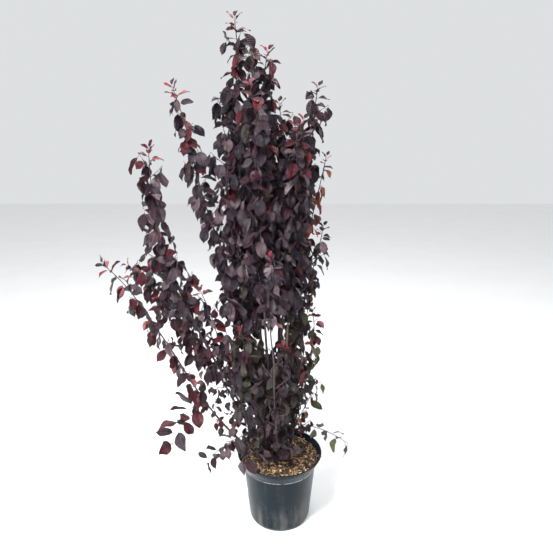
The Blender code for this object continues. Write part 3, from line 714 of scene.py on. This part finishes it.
def blade_points(stalk, blade, rng):
    """The points of a blade: folded along the midrib, curled back towards the tip, waved and toothed."""
    width = blade * rng.uniform(*LEAF_WIDTH_SHARE)
    fold = rng.uniform(*LEAF_FOLD)
    curl = rng.uniform(*LEAF_CURL)
    lean = rng.uniform(-LEAF_LEAN, LEAF_LEAN)
    phase = rng.uniform(0, 2 * math.pi)
    side = half_width(GRID_U) * width / 2 * GRID_V * TOOTHED
    wave = np.sin(GRID_U * LEAF_WAVE_TURNS + phase + 2 * np.sign(GRID_V))
    waved = LEAF_WAVE * blade * np.abs(GRID_V) ** 2 * wave
    x = stalk + GRID_U * blade * (1 - CURL_SHORTENS * curl * GRID_U)
    y = side * math.cos(fold) + lean * blade * GRID_U**2
    z = np.abs(side) * math.sin(fold) - curl * blade * GRID_U**2 + waved * (LEAF_WAVE_AT_BASE + GRID_U)
    return np.stack([x, y, z], axis=1)


def stalk_points(stalk):
    """The two rings of three points of a leaf's stalk, which runs on a little under the blade."""
    points = []
    for along, radius in ((0.0, PETIOLE_RADIUS), (stalk * PETIOLE_OVERLAP, PETIOLE_RADIUS * PETIOLE_TAPER)):
        points += [(along, math.cos(a) * radius, math.sin(a) * radius) for a in PETIOLE_TURNS]
    return np.array(points)


STALK_FACES = [(k, (k + 1) % 3, 3 + (k + 1) % 3, 3 + k) for k in range(3)]


def add_leaf(build, root, direction, facing, length, slot, rng):
    """One leaf on its stalk."""
    axes = frame_of(direction, facing)
    stalk = length * PETIOLE_SHARE
    blade = blade_points(stalk, length - stalk, rng)
    build.add(blade @ axes + np.array(root), GRID_FACES, slot, GRID_UV)
    build.add(stalk_points(stalk) @ axes + np.array(root), STALK_FACES, slot)


# Pot and soil

def pot_profile():
    """The pot's wall from its foot over the lip and down the inside to its floor, as (radius, height)."""
    outline = []
    for radius, height, steps in (
        (BODY_FOOT_RADIUS, 0.0, FOOT_ROUND),
        (BODY_TOP_RADIUS, COLLAR_FOOT, SHOULDER_ROUND),
        (COLLAR_FOOT_RADIUS, COLLAR_FOOT, COLLAR_ROUND),
        (RIM_RADIUS, POT_HEIGHT, LIP_ROUND),
    ):
        outline += [(radius + out, height + up) for out, up in steps]
    inside = [
        (COLLAR_FOOT_RADIUS - POT_WALL, COLLAR_FOOT + POT_WALL),
        (BODY_TOP_RADIUS - POT_WALL, COLLAR_FOOT),
        (BODY_FOOT_RADIUS - POT_WALL, POT_FLOOR + FOOT_CHAMFER_HEIGHT),
        (BODY_FOOT_RADIUS - FOOT_CHAMFER - POT_WALL, POT_FLOOR),
    ]
    return outline + inside


def turned_shell():
    """The pot's closed shell, turned about Z."""
    bm = bmesh.new()
    turns = [2 * math.pi * i / POT_SEGMENTS for i in range(POT_SEGMENTS)]
    rings = []
    for radius, height in pot_profile():
        rings.append([bm.verts.new(on_circle(radius, turn, height)) for turn in turns])
    for lower, upper in zip(rings, rings[1:]):
        for i in range(POT_SEGMENTS):
            j = (i + 1) % POT_SEGMENTS
            bm.faces.new((lower[i], lower[j], upper[j], upper[i]))
    bm.faces.new(list(reversed(rings[0])))
    bm.faces.new(rings[-1])
    bmesh.ops.recalc_face_normals(bm, faces=bm.faces)
    return link_mesh("pot_shell", bm)


def drain_cutter(index):
    """The cylinder that cuts one drain hole through the pot's floor."""
    turn = 2 * math.pi * (index + 0.5) / DRAIN_HOLES
    bm = bmesh.new()
    bmesh.ops.create_cone(
        bm,
        cap_ends=True,
        segments=DRAIN_SEGMENTS,
        radius1=DRAIN_RADIUS,
        radius2=DRAIN_RADIUS,
        depth=CUTTER_DEPTH,
        matrix=Matrix.Translation(on_circle(DRAIN_CIRCLE, turn, POT_FLOOR / 2)),
    )
    return link_mesh("drain", bm)


def make_pot(material):
    """The pot's shell, with drain holes cut through its floor."""
    pot = turned_shell()
    cutters = [drain_cutter(index) for index in range(DRAIN_HOLES)]
    for cutter in cutters:
        cut = pot.modifiers.new("drain", "BOOLEAN")
        cut.operation = "DIFFERENCE"
        cut.solver = "EXACT"
        cut.object = cutter
    graph = bpy.context.evaluated_depsgraph_get()
    pot.data = bpy.data.meshes.new_from_object(pot.evaluated_get(graph))
    pot.modifiers.clear()
    for cutter in cutters:
        bpy.data.objects.remove(cutter, do_unlink=True)
    pot.data.shade_smooth()
    pot.data.set_sharp_from_angle(angle=SHARP_FROM)
    pot.data.materials.clear()
    pot.data.materials.append(material)
    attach(pot, "root")
    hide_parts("pot")


def soil_height(x, y):
    """The height of the crumbled compost at a place, a little higher round the stems."""
    reach = math.hypot(x, y) / SOIL_RADIUS
    clods = CLOD_HEIGHT * noise.noise(Vector((x * CLOD_SCALE, y * CLOD_SCALE, 0)))
    crumbs = CRUMB_HEIGHT * noise.noise(Vector((x * CRUMB_SCALE, y * CRUMB_SCALE, 3)))
    return SOIL_TOP - SOIL_FALL * reach**2 + (clods + crumbs)


def add_compost(build):
    """The compost: rings of its crumbled top, then its sides down to its flat underside."""
    sides = SOIL_SEGMENTS
    turns = [2 * math.pi * k / sides for k in range(sides)]
    points = []
    for r in range(SOIL_RINGS + 1):
        for turn in turns:
            x, y, _ = on_circle(SOIL_RADIUS * r / SOIL_RINGS, turn, 0)
            points.append((x, y, soil_height(x, y)))
    for radius, height in SOIL_SIDES:
        points += [on_circle(radius, turn, height) for turn in turns]
    faces = []
    for r in range(SOIL_RINGS + len(SOIL_SIDES)):
        for k in range(sides):
            j = (k + 1) % sides
            faces.append((r * sides + k, (r + 1) * sides + k, (r + 1) * sides + j, r * sides + j))
    base = len(points) - sides
    faces.append(tuple(base + k for k in reversed(range(sides))))
    build.add(points, faces, 0)


def add_chip(build, rng):
    """One splinter of bark, turned at random on the compost."""
    reach = (SOIL_RADIUS - CHIP_FROM_WALL) * math.sqrt(rng.random())
    x, y, _ = on_circle(reach, rng.uniform(0, 2 * math.pi), 0)
    length = rng.uniform(*CHIP_LENGTH) * rng.uniform(*CHIP_VARIES)
    half = (length / 2, length * rng.uniform(*CHIP_WIDTH), length * rng.uniform(*CHIP_THICKNESS))
    turned = Matrix.Rotation(rng.uniform(0, 2 * math.pi), 3, "Z")
    turned = turned @ Matrix.Rotation(rng.gauss(0, CHIP_PITCH), 3, "Y")
    turned = turned @ Matrix.Rotation(rng.gauss(0, CHIP_ROLL), 3, "X")
    centre = Vector((x, y, soil_height(x, y) + half[2] * CHIP_LIFT))
    corners = []
    for signs in ((sx, sy, sz) for sx in (-1, 1) for sy in (-1, 1) for sz in (-1, 1)):
        local = Vector([sign * size * rng.uniform(*CHIP_JITTER) for sign, size in zip(signs, half)])
        corners.append(tuple(centre + turned @ local))
    slot = rng.choices((1, 2, 3, 4), CHIP_TONES)[0]
    build.add(corners, BOX_FACES, slot)


def make_soil(materials):
    """The compost with its crumbled top, and the bark chips that lie on it."""
    rng = random.Random("bark chips")
    build = Build()
    add_compost(build)
    for _ in range(CHIPS):
        add_chip(build, rng)
    made = build.finish("compost_and_chips", materials, smooth=False)
    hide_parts("soil")


# Stems

def leaning(azimuth, lean):
    """A direction that leans from the vertical towards an azimuth, by an angle in degrees."""
    lean = math.radians(lean)
    return Vector((math.sin(lean) * math.cos(azimuth), math.sin(lean) * math.sin(azimuth), math.cos(lean)))


def stem_curve(stem):
    """A function from 0 at the foot to 1 at the tip, which gives a point of the stem's centre line."""
    foot = Vector((*stem.foot, SOIL_TOP - STEM_SUNK))
    tip = Vector(stem.tip)
    azimuth = math.atan2(tip.y - foot.y, tip.x - foot.x)
    handle = (tip - foot).length / 3
    first = foot + leaning(azimuth, stem.lean_foot) * handle
    second = tip - leaning(azimuth, stem.lean_tip) * handle

    def point(t):
        s = 1 - t
        on = foot * s**3 + first * (3 * s * s * t) + second * (3 * s * t * t) + tip * t**3
        wave = stem.sway * t * t * math.sin(SWAY_TURNS * (1 - t))
        return on + Vector((wave, wave * math.cos(3 * t) / 2, 0))

    return point


def tangent(curve, t):
    """The direction of a curve at a share of it."""
    return (curve(min(1, t + TANGENT_STEP)) - curve(max(0, t - TANGENT_STEP))).normalized()


def length_of(curve, start, pieces):
    """The length of a curve from a share of it to its end, summed over short pieces."""
    probes = [curve(start + (1 - start) * k / pieces) for k in range(pieces + 1)]
    return sum((b - a).length for a, b in zip(probes, probes[1:]))


def at_height(curve, height):
    """The share of a rising curve where it passes a height, by halving."""
    low, high = 0.0, 1.0
    for _ in range(HALVINGS):
        middle = (low + high) / 2
        if curve(middle).z < height:
            low = middle
        else:
            high = middle
    return low


def stem_radius(stem, t):
    """The radius of a stem at a share of it, with its root flare and the slight swelling at its nodes."""
    above = (stem.tip[2] - SOIL_TOP) * t
    flare = 1 + ROOT_FLARE * max(0.0, 1 - above / ROOT_FLARE_HEIGHT) ** 2
    swell = 1 + NODE_SWELL * max(0.0, math.cos(2 * math.pi * above / NODE_EVERY)) ** 6
    return (stem.radius + (STEM_TIP_RADIUS - stem.radius) * t**STEM_TAPER) * flare * swell


def make_stems(curves, dark, tan):
    """All stems from the soil to their tips, with bark relief."""
    build = Build()
    for stem in STEMS:
        curve = curves[stem.name]
        count = int(length_of(curve, 0, STEM_PIECES) / BARK_STEP)
        shares = [k / count for k in range(count + 1)]
        points = [curve(t) for t in shares]
        radii = [stem_radius(stem, t) for t in shares]
        slot = 1 if stem.name in TAN_STEMS else 0
        add_tube(build, points, radii, BARK_SIDES, slot, BARK_RELIEF)
    made = build.finish("stems_with_bark", [dark, tan])
    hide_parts(*[f"stem_{stem.name}" for stem in STEMS])


# Foliage

Twig = namedtuple("Twig", "base heading length radius")

# What the leaves of a shoot have in common: how far up its stem it is, their length and their tone
Leafage = namedtuple("Leafage", "share size tone")


def between(pair, share):
    """A number between two, at a share of the way."""
    return pair[0] + (pair[1] - pair[0]) * share


def side_of(axis, turn):
    """A direction across an axis, turned about it."""
    side = axis.orthogonal().normalized()
    side.rotate(Matrix.Rotation(turn, 3, axis))
    return side


def along_line(points, share):
    """The place and the direction of a line of points at a share of its pieces."""
    place = min(share, 0.999) * (len(points) - 1)
    index = int(place)
    root = points[index].lerp(points[index + 1], place - index)
    return root, (points[index + 1] - points[index]).normalized()


def above_pot(point):
    """True if a point is clear above the soil and the rim, or outside the pot and above the floor."""
    reach = math.hypot(point.x, point.y)
    if point.z < FLOOR_CLEARANCE:
        return False
    if reach < RIM_RADIUS + RIM_CLEARANCE and point.z < POT_HEIGHT + RIM_CLEARANCE:
        return reach < BODY_FOOT_RADIUS and point.z > SOIL_TOP + SOIL_CLEARANCE
    return True


def leaf_direction(axis, azimuth, share, rng, lift=0):
    """Where a leaf points and faces: it hangs outwards low on a shoot and stands up near the tip."""
    side = side_of(axis, azimuth)
    rise = LEAF_TIP_RISE * max(0.0, share - TIP_FROM) / (1 - TIP_FROM)
    hang = math.radians(LEAF_HANG - rise - lift + rng.uniform(-LEAF_HANG_SPREAD, LEAF_HANG_SPREAD))
    down = Vector((0, 0, -1))
    direction = (side * math.cos(hang) + down * math.sin(hang)).normalized()
    facing = side * math.sin(hang) - down * math.cos(hang)
    facing.rotate(Matrix.Rotation(math.radians(rng.uniform(-LEAF_TWIST, LEAF_TWIST)), 3, direction))
    return direction, facing


def leaf_slot(tone, share, rng):
    """The number of the leaf colour that a tone deals out, with young colours at a shoot's tip."""
    if share > YOUNG_FROM and rng.random() < YOUNG_CHANCE:
        return LEAF_NAMES.index(rng.choice(YOUNG))
    if share > REDDER_FROM and rng.random() < REDDER_CHANCE:
        return LEAF_NAMES.index("crimson")
    names = list(TONES[tone])
    return LEAF_NAMES.index(rng.choices(names, [TONES[tone][n] for n in names])[0])


def place_leaf(build, root, axis, turn, leafage, rng, lift=0):
    """Sets one leaf on a shoot, unless it would reach into the pot."""
    loss = 1.0 - TIP_LEAF_LOSS * max(0.0, leafage.share - TIP_FROM) / (1 - TIP_FROM)
    length = leafage.size * loss * rng.uniform(*LEAF_VARIES)
    direction, facing = leaf_direction(axis, turn, leafage.share, rng, lift)
    slot = leaf_slot(leafage.tone, leafage.share, rng)
    if above_pot(root + direction * length) and above_pot(root + direction * (length / 2)):
        add_leaf(build, root, direction, facing, length, slot, rng)


def leafy_line(twigs, leaves, points, radius, sides, count, first, leafage_at, rng, lift=0):
    """A thin shoot along a line of points, with leaves set round it from a first share of it on."""
    last = len(points) - 1
    radii = [between((radius, TWIG_TIP_RADIUS), k / last) for k in range(last + 1)]
    add_tube(twigs, points, radii, sides)
    turn = rng.uniform(0, 2 * math.pi)
    for i in range(count):
        share = first + (1 - first) * (i + 1) / count
        root, axis = along_line(points, share)
        turn += GOLDEN_ANGLE
        place_leaf(leaves, root, axis, turn, leafage_at(share), rng, lift)


def grow_twig(twigs, leaves, twig, leafage, rng, fine=True):
    """A twig that bends upwards, with leaves along it, and sometimes a finer twig."""
    points = []
    for t in (k / (TWIG_POINTS - 1) for k in range(TWIG_POINTS)):
        bend = Vector((0, 0, TWIG_BEND * twig.length * t * t))
        points.append(twig.base + twig.heading * (twig.length * t) + bend)
    if not all(above_pot(p) for p in points):
        return
    count = max(2, round(twig.length / TWIG_LEAF_STEP))
    leafy_line(twigs, leaves, points, twig.radius, TWIG_SIDES, count, TWIG_LEAF_FROM, lambda _: leafage, rng)
    if fine and twig.length > FINE_TWIG_FROM and rng.random() < FINE_TWIG_CHANCE:
        side = side_of(twig.heading, rng.uniform(0, 2 * math.pi))
        onward = (twig.heading + side).normalized()
        start = points[TWIG_POINTS // 2]
        finer = Twig(start, onward, twig.length * FINE_TWIG_LENGTH, twig.radius * THINNER)
        grow_twig(twigs, leaves, finer, leafage, rng, False)


def grow_tip(stem, curve, twigs, leaves, rng):
    """The short shoot beyond a stem's tip, with its young leaves."""
    tip = curve(1)
    axis = tangent(curve, 1)
    add_tube(twigs, [tip, tip + axis * TIP_SHOOT], [STEM_TIP_RADIUS, TWIG_TIP_RADIUS], TWIG_SIDES)
    for i in range(TIP_LEAVES):
        back = i / TIP_LEAVES
        root = tip + axis * (TIP_SHOOT * (1 - TIP_LEAF_SPACING * back))
        side = side_of(axis, i * GOLDEN_ANGLE)
        direction = (axis * between(TIP_LEAF_RISE, back) + side * between(TIP_LEAF_SPREAD, back)).normalized()
        slot = LEAF_NAMES.index(rng.choice(YOUNG))
        facing = (axis + TIP_LEAF_FACING - side * TIP_LEAF_CUP).normalized()
        size = stem.leaf * LEAF_LENGTH_SHARE * between(TIP_LEAF_SHARE, back)
        add_leaf(leaves, root, direction, facing, size, slot, rng)


def grow_mass(stem, curve, twigs, leaves):
    """The twigs and leaves of one stem, from the height where its foliage starts to its tip."""
    rng = random.Random(f"foliage of {stem.name}")
    start = at_height(curve, stem.bare)
    length = length_of(curve, start, MASS_PIECES)
    size = stem.leaf * LEAF_LENGTH_SHARE
    turn = rng.uniform(0, 2 * math.pi)
    count = round(length / STEM_LEAF_STEP * stem.density)
    for i in range(count):
        share = (i + rng.random()) / count
        t = start + (1 - start) * share
        turn += GOLDEN_ANGLE
        place_leaf(leaves, curve(t), tangent(curve, t), turn, Leafage(share, size, stem.tone), rng)
    count = round(length / TWIG_STEP * stem.density)
    for i in range(count):
        share = (i + 0.5) / count
        t = start + (1 - start) * share * TWIGS_REACH
        axis = tangent(curve, t)
        turn += GOLDEN_ANGLE
        spread = math.radians(rng.uniform(*TWIG_SPREAD))
        heading = axis * math.cos(spread) + side_of(axis, turn) * math.sin(spread)
        reach = stem.twig * TWIG_LENGTH_SHARE * rng.uniform(*TWIG_VARIES)
        reach *= TWIG_LONGER_BELOW - TWIG_SHORTER_ABOVE * share
        radius = min(TWIG_RADIUS, stem_radius(stem, t) * THINNER)
        leafage = Leafage(share * TWIG_AGE, size, stem.tone)
        grow_twig(twigs, leaves, Twig(curve(t), heading, reach, radius), leafage, rng)
    grow_tip(stem, curve, twigs, leaves, rng)


def grow_low_shoots(stem, curve, twigs, leaves):
    """Short shoots with small leaves on the lower stretch of a stem, closest together near the soil."""
    rng = random.Random(f"low shoots of {stem.name}")
    turn = rng.uniform(0, 2 * math.pi)
    height = SOIL_TOP + LOW_SHOOT_FROM + (LOW_SHOOT_RIGHT if stem.foot[0] > 0 else 0)
    while height < min(stem.bare, LOW_SHOOT_TO):
        t = at_height(curve, height)
        axis = tangent(curve, t)
        turn += GOLDEN_ANGLE
        heading = (axis * LOW_SHOOT_RISE + side_of(axis, turn) * LOW_SHOOT_SPREAD).normalized()
        reach = rng.uniform(*LOW_SHOOT_LENGTH)
        tone = "olive" if rng.random() < LOW_SHOOT_OLIVE else stem.tone
        # Low shoots of dark-toned stems take the mauve tone, with less painted shade and more painted sheen
        tone = "mauve" if tone == "dark" else tone
        leafage = Leafage(LOW_SHOOT_AGE, rng.uniform(*LOW_LEAF_LENGTH), tone)
        grow_twig(twigs, leaves, Twig(curve(t), heading, reach, LOW_SHOOT_RADIUS), leafage, rng, False)
        low = 1 - (height - SOIL_TOP) / (LOW_SHOOT_TO - SOIL_TOP)
        height += LOW_SHOOT_STEP * rng.uniform(*LOW_SHOOT_STEP_VARIES) / (LOW_SHOOT_CROWDING + low)


def sprig_points(sprig, curve):
    """The arching line of a sprig from its stem to its tip."""
    start = curve(at_height(curve, sprig.height))
    points = []
    for t in (k / (SPRIG_POINTS - 1) for k in range(SPRIG_POINTS)):
        points.append(start.lerp(Vector(sprig.tip), t) + Vector((0, 0, 4 * sprig.rise * t * (1 - t))))
    return points


def grow_sprig(sprig, curve, twigs, leaves):
    """The small low shoot of a sprig and its leaves."""
    rng = random.Random(f"foliage of {sprig.name}")
    points = sprig_points(sprig, curve)

    def leafage_at(share):
        return Leafage(share * SPRIG_AGE, sprig.leaf * SPRIG_LEAF_SHARE, sprig.tone)

    shape = (points, sprig.radius, SPRIG_SIDES, sprig.leaves, SPRIG_LEAF_FROM)
    leafy_line(twigs, leaves, *shape, leafage_at, rng, SPRIG_LIFT)


def make_foliage(curves, leaf_materials, bark):
    """One piece of leaves and one of twigs for each group of masses."""
    stems = {stem.name: stem for stem in STEMS}
    sprigs = {sprig.name: sprig for sprig in SPRIGS}
    for group, names in GROUPS.items():
        leaves = Build()
        twigs = Build()
        for name in names:
            if name in stems:
                grow_mass(stems[name], curves[name], twigs, leaves)
                grow_low_shoots(stems[name], curves[name], twigs, leaves)
            else:
                grow_sprig(sprigs[name], curves[sprigs[name].stem], twigs, leaves)
        made = leaves.finish(f"leaves_of_{group}", leaf_materials)
        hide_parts(*[f"leaves_{name}" for name in names])
        wood = twigs.finish(f"twigs_of_{group}", [bark])


def make_fallen_leaves(leaf_materials):
    """A few leaves that lie on the compost."""
    rng = random.Random("fallen leaves")
    build = Build()
    for _ in range(FALLEN_LEAVES):
        reach = FALLEN_REACH * math.sqrt(rng.random())
        x, y, _ = on_circle(reach, rng.uniform(*FALLEN_TURN), 0)
        x += FALLEN_CENTRE
        ahead = rng.uniform(0, 2 * math.pi)
        direction = Vector(on_circle(1, ahead, FALLEN_TILT))
        root = Vector((x, y, soil_height(x, y) + FALLEN_LIFT))
        length = rng.uniform(*FALLEN_LENGTH)
        slot = LEAF_NAMES.index(rng.choice(FALLEN_COLOURS))
        add_leaf(build, root, direction, FALLEN_FACING, length, slot, rng)
    made = build.finish("fallen_leaves", leaf_materials)


# Stage

def make_floor():
    """A plain pale floor."""
    bm = bmesh.new()
    bmesh.ops.create_grid(bm, x_segments=FLOOR_CELLS, y_segments=FLOOR_CELLS, size=FLOOR_SIZE)
    floor = link_mesh("floor", bm)
    on = Surface("pale floor", FLOOR_COLOURS[0], 0.8)
    share = on.span(on.noise(3.0, 2.0), (0.3, 0.7))
    floor.data.materials.append(on.finish(Base_Color=on.mix(share, *FLOOR_COLOURS)))


def make_lights():
    """An even pale surround and soft lights."""
    world = bpy.data.worlds.new("studio")
    bpy.context.scene.world = world
    world.use_nodes = True
    background = world.node_tree.nodes["Background"]
    background.inputs["Color"].default_value = SURROUND_COLOUR
    background.inputs["Strength"].default_value = SURROUND_STRENGTH
    for light in LIGHTS:
        data = bpy.data.lights.new(light.name, "AREA")
        data.energy = light.watts
        data.size = light.size
        data.color = LIGHT_COLOUR
        lamp = link_object(light.name, data)
        lamp.location = light.place
        lamp.rotation_euler = (Vector(light.aim) - Vector(light.place)).to_track_quat("-Z", "Y").to_euler()


def make_camera():
    """The camera at the photograph's viewing angle."""
    data = bpy.data.cameras.new("camera")
    data.sensor_width = SENSOR_WIDTH
    data.lens = SENSOR_WIDTH * FOCAL_PIXELS / IMAGE_WIDTH
    camera = link_object("camera", data)
    camera.location = CAMERA_PLACE
    camera.rotation_euler = (math.pi / 2 - CAMERA_DOWN, 0, 0)
    bpy.context.scene.camera = camera
    bpy.context.scene.view_settings.view_transform = "Standard"


def main():
    """Builds the stage and every piece of the plant."""
    make_floor()
    make_lights()
    make_camera()
    leaf_materials = [leaf_material(name, *LEAF_COLOURS[name]) for name in LEAF_NAMES]
    make_pot(pot_material())
    make_soil([crumb_material(name, *CRUMBS[name]) for name in CRUMBS])
    curves = {stem.name: stem_curve(stem) for stem in STEMS}
    make_stems(curves, bark_material("dark bark", *DARK_BARK), bark_material("tan bark", *TAN_BARK))
    make_foliage(curves, leaf_materials, bark_material("twig bark", *TWIG_BARK))
    make_fallen_leaves(leaf_materials)


main()
